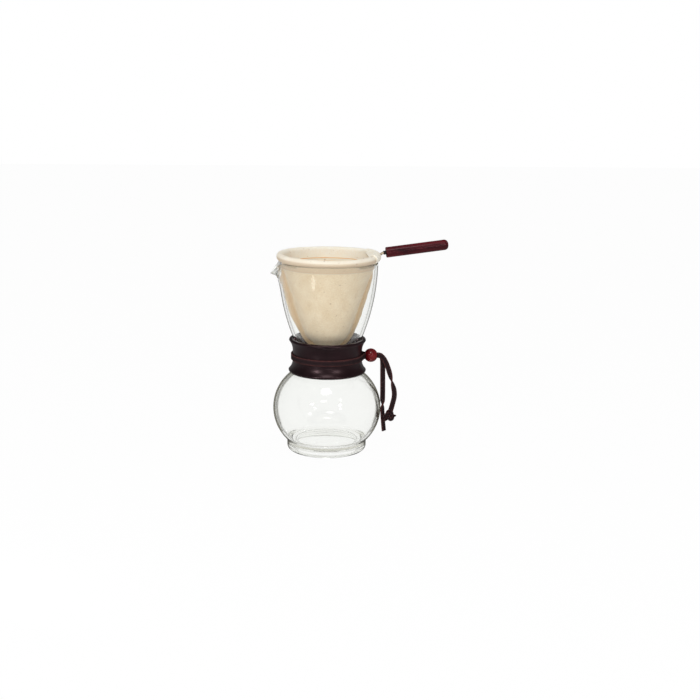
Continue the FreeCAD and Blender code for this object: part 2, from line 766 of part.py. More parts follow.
def leg_edges():
    """One leg on the +Y side: off the ring, up the slope and into the handle's socket."""
    angle = math.radians(size["ring_leg_angle"].number)
    ring = ring_radius.number
    height = ring_height.number
    side = leg_half_room.number
    start = FreeCAD.Vector(ring * math.cos(angle), ring * math.sin(angle), height)
    into = FreeCAD.Vector(math.sin(angle), -math.cos(angle), 0)
    tilt = math.radians(size["grip_tilt"].number)
    axis = FreeCAD.Vector(math.cos(tilt), 0, math.sin(tilt))
    face = FreeCAD.Vector(face_x.number, side, face_z.number)
    bend = size["leg_bend"].number
    corner = face - axis * (size["ferrule_out"].number + bend / 4)
    low = tilt
    high = math.pi / 2
    for _ in range(40):
        slope = (low + high) / 2
        rise = FreeCAD.Vector(math.cos(slope), 0, math.sin(slope))
        swing = into.getAngle(rise)
        inward = (rise - into * into.dot(rise)).normalize()
        sideways = inward.y * (1 - math.cos(swing)) + into.y * math.sin(swing)
        first, end = bend_arc(start, into, rise, (side - start.y) / sideways)
        if math.atan2(corner.z - end.z, corner.x - end.x) > slope:
            low = slope
        else:
            high = slope
    cut = bend * math.tan(rise.getAngle(axis) / 2)
    near = corner - rise * cut
    second, far = bend_arc(near, rise, axis, bend)
    depth = size["socket_depth"].number - size["wire_clearance"].number
    tail_end = face + axis * depth
    runs = [Part.LineSegment(end, near).toShape(), Part.LineSegment(far, tail_end).toShape()]
    return [first, runs[0], second, runs[1]], start, tail_end, axis


def make_ring_wire():
    """One wire bent to a ring whose two ends lie side by side in the handle."""
    edges, start, tail_end, axis = leg_edges()
    mirror = FreeCAD.Matrix(1, 0, 0, 0, 0, -1, 0, 0, 0, 0, 1, 0, 0, 0, 0, 1)
    other = [edge.transformGeometry(mirror) for edge in edges]
    back = FreeCAD.Vector(-ring_radius.number, 0, ring_height.number)
    ring = Part.Arc(start, back, FreeCAD.Vector(start.x, -start.y, start.z)).toShape()
    path = Part.Wire([*reversed(edges), ring, *other])
    radius = size["wire_diameter"].number / 2
    section = Part.Wire([Part.makeCircle(radius, tail_end, axis)])
    wire = doc.addObject("Part::Feature", "ring_wire")
    wire.Label = "ring_wire"
    wire.Shape = path.makePipeShell([section], True, False)
    expected = path.Length * math.pi * radius * radius
    print(f"ring_wire: volume {wire.Shape.Volume:.1f}, section times length {expected:.1f}")
    return wire


def make_all():
    parts = [
        make_glass_server(),
        make_collar_half("collar_half_front", False),
        make_collar_half("collar_half_rear", True),
        make_tie_band(),
        make_tie_bead(),
        make_tail("tie_tail_straight", STRAIGHT_TAIL, 1)[0],
    ]
    tail, end, along = make_tail("tie_tail_knotted", KNOTTED_TAIL, -1)
    parts += [
        tail,
        make_tie_knot(end, along),
        make_filter_panel("filter_panel_front", False),
        make_filter_panel("filter_panel_rear", True),
        make_filter_hem(),
        make_ring_wire(),
        make_handle_ferrule(),
        make_handle_grip(),
    ]
    return parts


def check_and_write(parts):
    doc.recompute()
    failed = [item.Name for item in doc.Objects if {"Invalid", "Error"} & set(item.State)]
    if failed:
        raise RuntimeError(f"these objects did not build: {failed}")
    for part in parts:
        if part.Shape.isNull() or not part.Shape.isValid() or len(part.Shape.Solids) != 1:
            raise RuntimeError(f"{part.Label} is not one valid solid")
    os.makedirs("parts", exist_ok=True)
    for part in parts:
        part.Shape.exportStep(f"parts/{part.Label}.step")


check_and_write(make_all())
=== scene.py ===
# %% [markdown]
# A cloth-filter drip pot: an hourglass glass server with a tied wooden collar, and a flannel bag that hangs in
# its funnel on a wire ring with a wooden handle. The frame gives every piece its place in metres, so each cell
# only has to make a better surface where a solid already is.

# %% Load the frame
import math

import bmesh
import bpy
from mathutils import Matrix, Vector, noise


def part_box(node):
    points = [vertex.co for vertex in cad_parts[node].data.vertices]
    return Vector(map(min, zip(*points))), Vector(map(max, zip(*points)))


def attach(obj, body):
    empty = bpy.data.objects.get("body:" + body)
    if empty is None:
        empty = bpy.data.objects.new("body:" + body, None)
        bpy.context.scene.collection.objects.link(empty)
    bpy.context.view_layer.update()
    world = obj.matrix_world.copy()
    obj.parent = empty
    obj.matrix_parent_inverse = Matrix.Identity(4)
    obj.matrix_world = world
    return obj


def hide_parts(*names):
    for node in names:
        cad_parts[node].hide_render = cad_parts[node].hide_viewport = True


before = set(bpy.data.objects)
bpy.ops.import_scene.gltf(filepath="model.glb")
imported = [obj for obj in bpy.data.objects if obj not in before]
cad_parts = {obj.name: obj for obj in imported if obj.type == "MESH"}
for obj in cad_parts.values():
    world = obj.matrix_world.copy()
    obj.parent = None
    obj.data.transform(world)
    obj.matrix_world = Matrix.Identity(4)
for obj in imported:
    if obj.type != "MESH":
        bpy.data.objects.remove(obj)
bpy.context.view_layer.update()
MM = 0.001

# %% [markdown]
# Every piece is made the same way at the end: a bmesh becomes an object at the origin, rides on its body, takes
# the finish that it is given, and hides the plain solid that it stands for.


# %% Finish a piece
def finish_piece(name, bm, body, material, nodes=(), smooth=True):
    mesh = bpy.data.meshes.new(name)
    bm.to_mesh(mesh)
    bm.free()
    for face in mesh.polygons:
        face.use_smooth = smooth
    piece = bpy.data.objects.new(name, mesh)
    bpy.context.scene.collection.objects.link(piece)
    mesh.materials.append(material)
    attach(piece, body)
    if nodes:
        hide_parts(*nodes)
    print(name, len(mesh.polygons), "faces")
    return piece


def add_modifier(piece, kind, **settings):
    modifier = piece.modifiers.new(kind.title(), kind)
    for key, value in settings.items():
        setattr(modifier, key, value)
    return modifier


# %% [markdown]
# The materials are small node trees. A helper keeps them readable: it makes the principled shader, sets the
# sockets that are the same all over, and hands back the tree so that a pattern can be wired in.


# %% Material helpers
def make_material(name, **sockets):
    material = bpy.data.materials.new(name)
    material.use_nodes = True
    shader = material.node_tree.nodes["Principled BSDF"]
    for socket, value in sockets.items():
        shader.inputs[socket.replace("_", " ")].default_value = value
    return material, material.node_tree, shader


def add_node(tree, kind, **settings):
    node = tree.nodes.new(kind)
    for key, value in settings.items():
        if key in node.inputs:
            node.inputs[key].default_value = value
        else:
            setattr(node, key, value)
    return node


def colour(red, green, blue):
    """A colour given as screen values from 0 to 255, made linear."""
    def linear(value):
        value = value / 255
        return value / 12.92 if value <= 0.04045 else ((value + 0.055) / 1.055) ** 2.4
    return (linear(red), linear(green), linear(blue), 1.0)


def ramp(tree, source, stops):
    """Colour ramp fed by a socket; stops are (place, colour)."""
    node = tree.nodes.new("ShaderNodeValToRGB")
    elements = node.color_ramp.elements
    while len(elements) < len(stops):
        elements.new(0.5)
    for element, (place, tint) in zip(elements, stops):
        element.position = place
        element.color = tint
    tree.links.new(source, node.inputs["Fac"])
    return node.outputs["Color"]


def add_bump(tree, shader, height, strength, distance):
    bump = add_node(tree, "ShaderNodeBump", Strength=strength, Distance=distance)
    tree.links.new(height, bump.inputs["Height"])
    tree.links.new(bump.outputs["Normal"], shader.inputs["Normal"])


def object_noise(tree, scale, detail=4.0, stretch=(1, 1, 1), turn=(0, 0, 0)):
    """Noise on the piece's own coordinates, in metres, stretched or turned as the grain needs."""
    place = add_node(tree, "ShaderNodeTexCoord")
    mapping = add_node(tree, "ShaderNodeMapping", Scale=stretch, Rotation=turn)
    texture = add_node(tree, "ShaderNodeTexNoise", Scale=scale, Detail=detail)
    tree.links.new(place.outputs["Object"], mapping.inputs["Vector"])
    tree.links.new(mapping.outputs["Vector"], texture.inputs["Vector"])
    return texture.outputs["Fac"]


def math_node(tree, operation, first, second=None, third=None):
    node = add_node(tree, "ShaderNodeMath", operation=operation)
    for socket, value in zip(node.inputs, (first, second, third)):
        if value is None:
            continue
        if isinstance(value, (int, float)):
            socket.default_value = value
        else:
            tree.links.new(value, socket)
    return node.outputs["Value"]


def mix_colour(tree, share, first, second):
    """Colour between two others, each a constant or a socket."""
    node = add_node(tree, "ShaderNodeMix", data_type="RGBA")
    tree.links.new(share, node.inputs["Factor"])
    for socket, value in ((node.inputs["A"], first), (node.inputs["B"], second)):
        if isinstance(value, tuple):
            socket.default_value = value
        else:
            tree.links.new(value, socket)
    return node.outputs["Result"]


def fade(tree, value, low, high, first, last):
    """Smooth change from first to last while a value goes from low to high."""
    node = add_node(tree, "ShaderNodeMapRange", interpolation_type="SMOOTHSTEP")
    for socket, number in zip(node.inputs[1:5], (low, high, first, last)):
        socket.default_value = number
    tree.links.new(value, node.inputs["Value"])
    return node.outputs["Result"]


# %% [markdown]
# The camera comes first. It stands a little to the left of the pot's front and above it, and was fitted to the
# rim, the collar, the foot and the handle in the picture.

# %% Camera
CAMERA_DISTANCE = 1.2
CAMERA_HEIGHT = 0.376
CAMERA_AZIMUTH = math.radians(-5)
CAMERA_ROLL = math.radians(0.8)
CAMERA_TARGET = Vector((0.0231, 0, 0.1034))
LENS = 62.2

camera_data = bpy.data.cameras.new("camera")
camera_data.lens = LENS
camera_data.sensor_width = 36
camera = bpy.data.objects.new("camera", camera_data)
bpy.context.scene.collection.objects.link(camera)
stand = Vector((math.sin(CAMERA_AZIMUTH), -math.cos(CAMERA_AZIMUTH), 0)) * CAMERA_DISTANCE
camera.location = stand + Vector((0, 0, CAMERA_HEIGHT))
look = (CAMERA_TARGET - camera.location).to_track_quat("-Z", "Y")
camera.rotation_euler = (look.to_matrix() @ Matrix.Rotation(CAMERA_ROLL, 3, "Z")).to_euler()
bpy.context.scene.camera = camera

# %% [markdown]
# The lace is flat suede. Seen close, its cut edges are redder than its dark face, so each ribbon carries how far
# across and how far along it a point lies, and the finish reads those two numbers.


# %% Suede finish
def suede_finish():
    material, tree, shader = make_material("suede", Roughness=0.95, Specular_IOR_Level=0.2)
    across = add_node(tree, "ShaderNodeAttribute", attribute_name="across").outputs["Fac"]
    edge = math_node(tree, "ABSOLUTE", across)
    nap = object_noise(tree, 900, 6)
    patches = object_noise(tree, 160, 3)
    worn = math_node(tree, "MULTIPLY", math_node(tree, "MULTIPLY_ADD", patches, 0.5, edge), 0.7)
    tint = ramp(tree, worn, [
        (0.2, colour(34, 22, 25)),
        (0.6, colour(46, 29, 31)),
        (0.9, colour(84, 47, 46)),
    ])
    tree.links.new(tint, shader.inputs["Base Color"])
    add_bump(tree, shader, nap, 0.6, 0.0006)
    return material


suede = suede_finish()


# %% [markdown]
# A lace is a flat section with soft corners, pushed along a line step by step. The line is read from a smooth
# spline, so the lace bends evenly, and the section can turn as it goes, which gives a twist.


# %% Lace along a spline
LACE_WIDTH = 5.2 * MM
LACE_THICKNESS = 1.7 * MM
SECTION = [(-1, -0.5), (-0.86, -1), (-0.45, -1), (0, -1), (0.45, -1), (0.86, -1), (1, -0.5),
           (1, 0.5), (0.86, 1), (0.45, 1), (0, 1), (-0.45, 1), (-0.86, 1), (-1, 0.5)]


def spline_points(name, controls, per_span=12):
    """Points along a smooth spline with the given control points."""
    curve = bpy.data.curves.new(name, "CURVE")
    curve.dimensions = "3D"
    spline = curve.splines.new("NURBS")
    spline.points.add(len(controls) - 1)
    for point, place in zip(spline.points, controls):
        point.co = (*place, 1)
    spline.order_u = 3
    spline.use_endpoint_u = True
    spline.resolution_u = per_span
    holder = bpy.data.objects.new(name, curve)
    bpy.context.scene.collection.objects.link(holder)
    mesh = bpy.data.meshes.new_from_object(holder)
    points = [vertex.co.copy() for vertex in mesh.vertices]
    bpy.data.objects.remove(holder)
    bpy.data.curves.remove(curve)
    bpy.data.meshes.remove(mesh)
    return points


def direction(points, index):
    before = points[max(index - 1, 0)]
    after = points[min(index + 1, len(points) - 1)]
    return (after - before).normalized()


def add_lace(bm, points, sides, widths):
    """Push the lace's section along points; sides and widths give its width at each one."""
    across = bm.verts.layers.float.get("across") or bm.verts.layers.float.new("across")
    corner = bm.verts.layers.int.get("corner") or bm.verts.layers.int.new("corner")

    def set_place(vertex, index):
        wide, deep = SECTION[vertex[corner]]
        face = direction(points, index).cross(sides[index])
        vertex[across] = wide
        vertex.co = points[index] + sides[index] * (wide * widths[index] / 2) + face * (deep * LACE_THICKNESS / 2)

    loop = [bm.verts.new() for _ in SECTION]
    for number, vertex in enumerate(loop):
        vertex[corner] = number
        set_place(vertex, 0)
    edges = [bm.edges.new(pair) for pair in zip(loop, [*loop[1:], loop[0]])]
    first_edges = edges
    for index in range(1, len(points)):
        made = bmesh.ops.extrude_edge_only(bm, edges=edges)["geom"]
        edges = [item for item in made if isinstance(item, bmesh.types.BMEdge)]
        for vertex in {v for edge in edges for v in edge.verts}:
            set_place(vertex, index)
        edges = [edge for edge in edges if edge.is_boundary]
    bmesh.ops.contextual_create(bm, geom=first_edges)
    bmesh.ops.contextual_create(bm, geom=edges)
    bmesh.ops.recalc_face_normals(bm, faces=bm.faces)


def turned_sides(points, first, angles):
    """Width directions square to the line, turned about it by the given angles."""
    sides = []
    for index, angle in enumerate(angles):
        along = direction(points, index)
        first = (first - along * first.dot(along)).normalized()
        sides.append(Matrix.Rotation(angle, 3, along) @ first)
    return sides


def smooth_step(low, high, value):
    share = min(max((value - low) / (high - low), 0), 1)
    return share * share * (3 - 2 * share)


# %% [markdown]
# Two free ends of the lace come out of the bead and hang. One falls almost straight, the other swings out, turns
# over once on its way down and ends in a knot. The points are the ones that the solids follow.

# %% Hanging tails
STRAIGHT_TAIL = [(0, 0, 0), (3.8, 0, 0), (6.0, 0.2, -2.6), (6.6, 0.6, -8.2), (6.8, 1.2, -16), (7.2, 2.2, -30),
                 (7.6, 3.2, -46), (7.2, 3.6, -61), (9.6, 3.9, -82)]
KNOTTED_TAIL = [(0, 0, 0), (4.2, 0, 0), (8.4, -0.3, -4.8), (12.4, -1.0, -14.5), (15.6, -2.0, -27),
                (19.4, -2.8, -40), (16.6, -3.2, -52), (14.6, -3.4, -59)]
bead_low, bead_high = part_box("tie_bead")
LACE_HEIGHT = (bead_low.z + bead_high.z) / 2
BEAD_CENTRE = (bead_low + bead_high) / 2
strand_low, strand_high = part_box("tie_band")
STRAND_END = strand_high.x
STRAND_MIDDLE = 0.925 * MM


def hang_tail(name, route, side, twists, far_end, pieces=()):
    """Ribbon for one tail; twists are (height, spread, angle) of each turn about its own line."""
    start = Vector((STRAND_END, side * STRAND_MIDDLE, LACE_HEIGHT))
    controls = [start + Vector(place) * MM for place in route]
    points = spline_points(name, controls)
    angles = []
    for point in points:
        angle = 0
        for height, spread, turn in twists:
            angle += turn * smooth_step(height + spread, height - spread, point.z)
        angles.append(angle)
    sides = turned_sides(points, Vector((0, 0, 1)), angles)
    bm = bmesh.new()
    add_lace(bm, points, sides, [LACE_WIDTH] * len(points))
    piece = finish_piece(name, bm, "tie", suede, [f"tie_{name}"])
    length = sum((b - a).length for a, b in zip(points, points[1:]))
    print(name, "length", round(length / MM, 1), "mm")
    return piece, points, length


straight_tail, straight_points, straight_length = hang_tail(
    "tail_straight", STRAIGHT_TAIL, 1, [(46 * MM, 7 * MM, math.radians(150))], "bare")
knotted_tail, knotted_points, knotted_length = hang_tail(
    "tail_knotted", KNOTTED_TAIL, -1, [(71 * MM, 14 * MM, math.radians(180))], "knot")

# %% [markdown]
# The glass is one turned wall with a thick foot. Its profile is made of arcs that run smoothly into each other:
# the bulb, the waist and the funnel, first up the outside, over the round rim, and down again inside.

# %% Glass profile
WALL = 2.5
BULB_RADIUS, BULB_HEIGHT, BULB_ARC = 55.0, 44.0, 45.0
WAIST_RADIUS, WAIST_HEIGHT = 27.0, 97.0
RIM_RADIUS, RIM_HEIGHT, FUNNEL_ARC = 50.0, 195.2, 210.0
FOOT_RADIUS, FOOT_CORNER = 40.5, 5.0
HOLLOW_RADIUS, HOLLOW_DEPTH, HOLLOW_CORNER, HOLLOW_DRAFT = 34.0, 8.0, 3.0, 0.6
FLOOR_HEIGHT, FLOOR_CORNER = 11.0, 16.0
BULB_X = BULB_RADIUS - BULB_ARC
FUNNEL_X = RIM_RADIUS - FUNNEL_ARC
LIP_START = 166.0


def waist_arc(arc, centre, distance):
    """Radius of the waist's arc that meets another arc smoothly."""
    gap = WAIST_RADIUS - centre
    return (distance ** 2 - (arc ** 2 - gap ** 2)) / (2 * (arc - gap))


LOW_ARC = waist_arc(BULB_ARC, BULB_X, WAIST_HEIGHT - BULB_HEIGHT)
HIGH_ARC = waist_arc(FUNNEL_ARC, FUNNEL_X, RIM_HEIGHT - WAIST_HEIGHT)
LOW_ANGLE = math.degrees(math.atan2(WAIST_HEIGHT - BULB_HEIGHT, WAIST_RADIUS + LOW_ARC - BULB_X))
HIGH_ANGLE = math.degrees(math.atan2(WAIST_HEIGHT - RIM_HEIGHT, WAIST_RADIUS + HIGH_ARC - FUNNEL_X))


def arc(x, z, radius, start, end, count):
    """Points on an arc, from start to end in degrees."""
    angles = [math.radians(start + (end - start) * step / count) for step in range(count + 1)]
    return [(x + radius * math.cos(angle), z + radius * math.sin(angle)) for angle in angles]


def wall_line(offset, start_angle, end_angle):
    """The wall from the bulb's foot to the funnel's top, moved inwards by an offset."""
    lip_angle = -math.degrees(math.asin((RIM_HEIGHT - LIP_START) / FUNNEL_ARC))
    return [
        *arc(BULB_X, BULB_HEIGHT, BULB_ARC - offset, start_angle, LOW_ANGLE, 36),
        *arc(WAIST_RADIUS + LOW_ARC, WAIST_HEIGHT, LOW_ARC + offset, 180 + LOW_ANGLE, 180, 12)[1:],
        *arc(WAIST_RADIUS + HIGH_ARC, WAIST_HEIGHT, HIGH_ARC + offset, 180, 180 + HIGH_ANGLE, 8)[1:],
        *arc(FUNNEL_X, RIM_HEIGHT, FUNNEL_ARC - offset, HIGH_ANGLE, lip_angle, 12)[1:],
        *arc(FUNNEL_X, RIM_HEIGHT, FUNNEL_ARC - offset, lip_angle, end_angle, 28)[1:],
    ]


def glass_profile():
    lip = WALL / 2
    top_angle = -math.degrees(math.asin(lip / FUNNEL_ARC))
    crease_angle = -math.degrees(math.acos((FOOT_RADIUS - BULB_X) / BULB_ARC))
    swing = BULB_ARC - WALL - FLOOR_CORNER
    fall = BULB_HEIGHT - FLOOR_HEIGHT - FLOOR_CORNER
    floor_angle = -math.degrees(math.asin(fall / swing))
    floor_x = BULB_X + swing * math.cos(math.radians(floor_angle))
    outside = [
        (0, HOLLOW_DEPTH),
        *arc(HOLLOW_RADIUS - HOLLOW_DRAFT - HOLLOW_CORNER, HOLLOW_DEPTH - HOLLOW_CORNER, HOLLOW_CORNER, 90, 0, 8),
        (HOLLOW_RADIUS, 0),
        *arc(FOOT_RADIUS - FOOT_CORNER, FOOT_CORNER, FOOT_CORNER, -90, 0, 10),
        *wall_line(0, crease_angle, top_angle),
    ]
    inside = [
        (0, FLOOR_HEIGHT),
        *arc(floor_x, FLOOR_HEIGHT + FLOOR_CORNER, FLOOR_CORNER, -90, floor_angle, 10),
        *wall_line(WALL, floor_angle, top_angle)[1:],
    ]
    rim = arc(RIM_RADIUS - lip, RIM_HEIGHT - lip, lip, 0, 180, 10)[1:-1]
    return [*outside, *rim, *reversed(inside)]


def turn(profile, steps, angle=2 * math.pi, start=0.0):
    """Spin a profile of (radius, height) in millimetres about the upright axis."""
    bm = bmesh.new()
    turned = Matrix.Rotation(start, 3, "Z")
    vertices = [bm.verts.new(turned @ Vector((x * MM, 0, z * MM))) for x, z in profile]
    edges = [bm.edges.new(pair) for pair in zip(vertices, vertices[1:])]
    full = abs(angle - 2 * math.pi) < 1e-6
    bmesh.ops.spin(bm, geom=vertices + edges, cent=(0, 0, 0), axis=(0, 0, 1), angle=angle,
                   steps=steps, use_merge=full)
    bmesh.ops.remove_doubles(bm, verts=bm.verts, dist=1e-7)
    bmesh.ops.recalc_face_normals(bm, faces=bm.faces)
    return bm


# %% [markdown]
# The pouring lip is pulled from the hot rim with a finger, so it is made the same way: the points near the rim on
# that side are drawn outwards and down, most in the middle and less towards the sides.

# %% Glass server
GLASS_STEPS = 400
SEE_THROUGH = 0.5
WALL_FROM = 14.0
CLEAR = (0.985, 0.99, 0.98, 1)
# A painted shade for the walls seen edge-on, not a tint of the glass.
EDGE_SHADE = colour(120, 117, 96)
LIP_DROP = 12.2
LIP_REACH = 8.4
LIP_SPREAD = math.radians(13)
BEAK_SPREAD = math.radians(7.5)


def mark_glass(bm):
    """Note the thin rim, and where the wall takes its painted dark edges: less at the funnel, and none in the
    foot's hollow or at the rim.
    """
    thin = bm.verts.layers.float.new("thin")
    wall = bm.verts.layers.float.new("wall")
    for vertex in bm.verts:
        height = vertex.co.z / MM
        radius = math.hypot(vertex.co.x, vertex.co.y) / MM
        foot = 0.9 * smooth_step(FOOT_RADIUS - 3, FOOT_RADIUS - 0.5, radius)
        bulb = smooth_step(WALL_FROM, WALL_FROM + 12, height)
        funnel = 1 - 0.14 * smooth_step(80, 120, height)
        vertex[thin] = smooth_step(RIM_HEIGHT - 3, RIM_HEIGHT - 1, height)
        vertex[wall] = max(foot, bulb) * funnel * (1 - vertex[thin])


def pull_lip(bm):
    """Draw out the lip, which is as thin as the rim."""
    thin = bm.verts.layers.float["thin"]
    wall = bm.verts.layers.float["wall"]
    span = RIM_HEIGHT - LIP_START
    for vertex in bm.verts:
        height = vertex.co.z / MM
        if height < LIP_START or vertex.co.x > 0:
            continue
        angle = math.atan2(vertex.co.y, -vertex.co.x)
        share = (height - LIP_START) / span
        wide = math.exp(-((angle / LIP_SPREAD) ** 2))
        narrow = math.exp(-((angle / BEAK_SPREAD) ** 2))
        vertex[thin] = max(vertex[thin], smooth_step(0.6, 0.9, share) * smooth_step(0.02, 0.2, wide))
        vertex[wall] *= 1 - vertex[thin]
        out = 3.4 * share ** 3 * wide + (LIP_REACH - 3.4) * smooth_step(0.82, 1.0, share) * narrow
        drop = LIP_DROP * share * (0.45 * wide + 0.55 * narrow)
        flat = Vector((vertex.co.x, vertex.co.y, 0))
        vertex.co += flat.normalized() * (out * MM)
        vertex.co.z -= drop * MM


def glass_finish():
    """Clear glass with a faint tint in its depth, and a painted shade where the wall is seen edge-on; light that
    is not seen directly passes straight through.
    """
    material, tree, shader = make_material(
        "clear_glass", Roughness=0.0, IOR=1.47, Transmission_Weight=1.0, Specular_Tint=(0.5, 0.5, 0.5, 1))
    facing = add_node(tree, "ShaderNodeLayerWeight").outputs["Facing"]
    wall = add_node(tree, "ShaderNodeAttribute", attribute_name="wall").outputs["Fac"]
    edge = fade(tree, math_node(tree, "MULTIPLY", facing, wall), 0.64, 0.78, 0.0, 1.0)
    # Painted shade: the wall turns olive grey where it is seen edge-on, standing in for the darker surroundings
    # seen through it.
    edge_shaded_tint = mix_colour(tree, edge, CLEAR, EDGE_SHADE)
    tree.links.new(edge_shaded_tint, shader.inputs["Base Color"])
    ripples = object_noise(tree, 14, 0)
    add_bump(tree, shader, ripples, 0.02, 0.004)
    output = tree.nodes["Material Output"]
    path = add_node(tree, "ShaderNodeLightPath")
    unseen = math_node(tree, "MAXIMUM", path.outputs["Is Shadow Ray"], path.outputs["Is Diffuse Ray"])
    clear = add_node(tree, "ShaderNodeBsdfTransparent")
    tree.links.new(edge_shaded_tint, clear.inputs["Color"])
    mix = add_node(tree, "ShaderNodeMixShader")
    thin = add_node(tree, "ShaderNodeAttribute", attribute_name="thin").outputs["Fac"]
    straight = math_node(tree, "MULTIPLY", math_node(tree, "MAXIMUM", thin, edge), SEE_THROUGH)
    tree.links.new(math_node(tree, "MAXIMUM", unseen, straight), mix.inputs["Fac"])
    tree.links.new(shader.outputs["BSDF"], mix.inputs[1])
    tree.links.new(clear.outputs["BSDF"], mix.inputs[2])
    tree.links.new(mix.outputs["Shader"], output.inputs["Surface"])
    tint = add_node(tree, "ShaderNodeVolumeAbsorption", Color=colour(162, 160, 122), Density=8.0)
    tree.links.new(tint.outputs["Volume"], output.inputs["Volume"])
    return material


glass_mesh = turn(glass_profile(), GLASS_STEPS)
mark_glass(glass_mesh)
pull_lip(glass_mesh)
glass = finish_piece("server_glass", glass_mesh, "server", glass_finish(), ["glass_server"])

# %% [markdown]
# The collar is turned from dark wood and lacquered. It is in two halves, so that it can be put round the waist.
# Each half is half a turn of the same profile, closed by its two flat joint faces.

# %% Collar
COLLAR_GAP = 0.3
COLLAR_BOTTOM, COLLAR_TOP = 81.5, 116.5
COLLAR_SEAT, SEAT_LOW, SEAT_HIGH = 35.3, 94.0, 104.0
FLARE, FLARE_CORNER = 39.4, 2.5
UPPER_LIP, UPPER_CORNER = 39.0, 2.0


def hollow_flare(x, z, seat_z, count):
    """Points from a flare's edge to the seat on an arc that ends upright."""
    across, along = x - COLLAR_SEAT, seat_z - z
    radius = (across ** 2 + along ** 2) / (2 * across)
    edge = math.degrees(math.asin(along / radius))
    return arc(COLLAR_SEAT + radius, seat_z, radius, 180 + edge, 180, count)


def collar_profile():
    funnel = FUNNEL_ARC + COLLAR_GAP
    top_angle = -math.degrees(math.asin((RIM_HEIGHT - COLLAR_TOP) / funnel))
    low = LOW_ARC - COLLAR_GAP
    low_angle = 180 + math.degrees(math.asin((WAIST_HEIGHT - COLLAR_BOTTOM) / low))
    bore = [
        *arc(FUNNEL_X, RIM_HEIGHT, funnel, top_angle, HIGH_ANGLE, 6),
        *arc(WAIST_RADIUS + HIGH_ARC, WAIST_HEIGHT, HIGH_ARC - COLLAR_GAP, 180 + HIGH_ANGLE, 180, 6)[1:],
        *arc(WAIST_RADIUS + LOW_ARC, WAIST_HEIGHT, low, 180, low_angle, 10)[1:],
    ]
    outside = [
        *arc(FLARE - FLARE_CORNER, COLLAR_BOTTOM + FLARE_CORNER, FLARE_CORNER, -90, 0, 8),
        *hollow_flare(FLARE, COLLAR_BOTTOM + FLARE_CORNER, SEAT_LOW, 12)[1:],
        *reversed(hollow_flare(UPPER_LIP, COLLAR_TOP - UPPER_CORNER, SEAT_HIGH, 12)[1:]),
        *arc(UPPER_LIP - UPPER_CORNER, COLLAR_TOP - UPPER_CORNER, UPPER_CORNER, 0, 90, 8),
    ]
    return [*outside, *bore]


def lacquered_wood(name, dark, light, grain_stretch, turn=(0, 0, 0), scale=40, gloss=0.44):
    """Turned wood under a satin lacquer: fine grain in the colour, and a soft sheen of the same warmth."""
    material, tree, shader = make_material(
        name, Roughness=0.34, Specular_IOR_Level=gloss, Specular_Tint=colour(255, 214, 220))
    grain = object_noise(tree, scale, 8, grain_stretch, turn)
    pores = object_noise(tree, scale * 9, 3, grain_stretch, turn)
    mixed = math_node(tree, "MULTIPLY_ADD", pores, 0.35, grain)
    tint = ramp(tree, mixed, [(0.45, dark), (0.95, light)])
    tree.links.new(tint, shader.inputs["Base Color"])
    add_bump(tree, shader, pores, 0.08, 0.0004)
    return material


collar_wood = lacquered_wood("collar_wood", colour(13, 5, 8), colour(33, 16, 20), (1, 1, 0.12))


def collar_half(name, node, start):
    profile = collar_profile()
    bm = turn([*profile, profile[0]], 90, math.pi, start)
    ends = [edge for edge in bm.edges if edge.is_boundary]
    bmesh.ops.holes_fill(bm, edges=ends, sides=0)
    bmesh.ops.recalc_face_normals(bm, faces=bm.faces)
    piece = finish_piece(name, bm, "server", collar_wood, [node])
    add_modifier(piece, "BEVEL", width=0.25 * MM, segments=2, limit_method="ANGLE", angle_limit=math.radians(50))
    return piece


collar_half("collar_front", "collar_half_front", math.pi)
collar_half("collar_rear", "collar_half_rear", 0)

# %% [markdown]
# One turn of the same lace lies in the collar's groove. Its ends leave side by side and run through the bead, so
# the line starts at one strand, goes round the collar and comes back along the other.

# %% Lace round the collar
LACE_RING = 36.3 * MM
LACE_LEAVES = math.radians(11)
WRAP_WIDTH = 6.0 * MM
LACE_STEPS = 28


def lace_line():
    far = Vector((STRAND_END, STRAND_MIDDLE, LACE_HEIGHT))
    near = Vector((LACE_RING + 3 * MM, STRAND_MIDDLE, LACE_HEIGHT))
    half = [far, near]
    for step in range(LACE_STEPS + 1):
        angle = LACE_LEAVES + (math.pi - LACE_LEAVES) * step / LACE_STEPS
        half.append(Vector((LACE_RING * math.cos(angle), LACE_RING * math.sin(angle), LACE_HEIGHT)))
    other = [Vector((place.x, -place.y, place.z)) for place in reversed(half[:-1])]
    return half + other


wrap_points = spline_points("wrap", lace_line(), 6)
wrap_mesh = bmesh.new()
add_lace(wrap_mesh, wrap_points, [Vector((0, 0, 1))] * len(wrap_points), [WRAP_WIDTH] * len(wrap_points))
wrap = finish_piece("lace_wrap", wrap_mesh, "server", suede, ["tie_band"])

# %% [markdown]
# The bead is a small turned ball of red wood under clear lacquer, with a round-edged bore for the two strands.

# %% Bead
BEAD_RADIUS = (bead_high.y - bead_low.y) / 2
BEAD_BORE = 3.4 * MM
BORE_EDGE = 0.5 * MM


def bead_finish():
    material, tree, shader = make_material("bead_wood", Roughness=0.3, Specular_IOR_Level=0.3, Coat_Weight=0.25, Coat_Roughness=0.06)
    swirl = object_noise(tree, 110, 5, (0.35, 1, 1))
    tint = ramp(tree, swirl, [(0.3, colour(52, 6, 11)), (0.55, colour(112, 16, 23)), (0.75, colour(146, 38, 36))])
    tree.links.new(tint, shader.inputs["Base Color"])
    return material


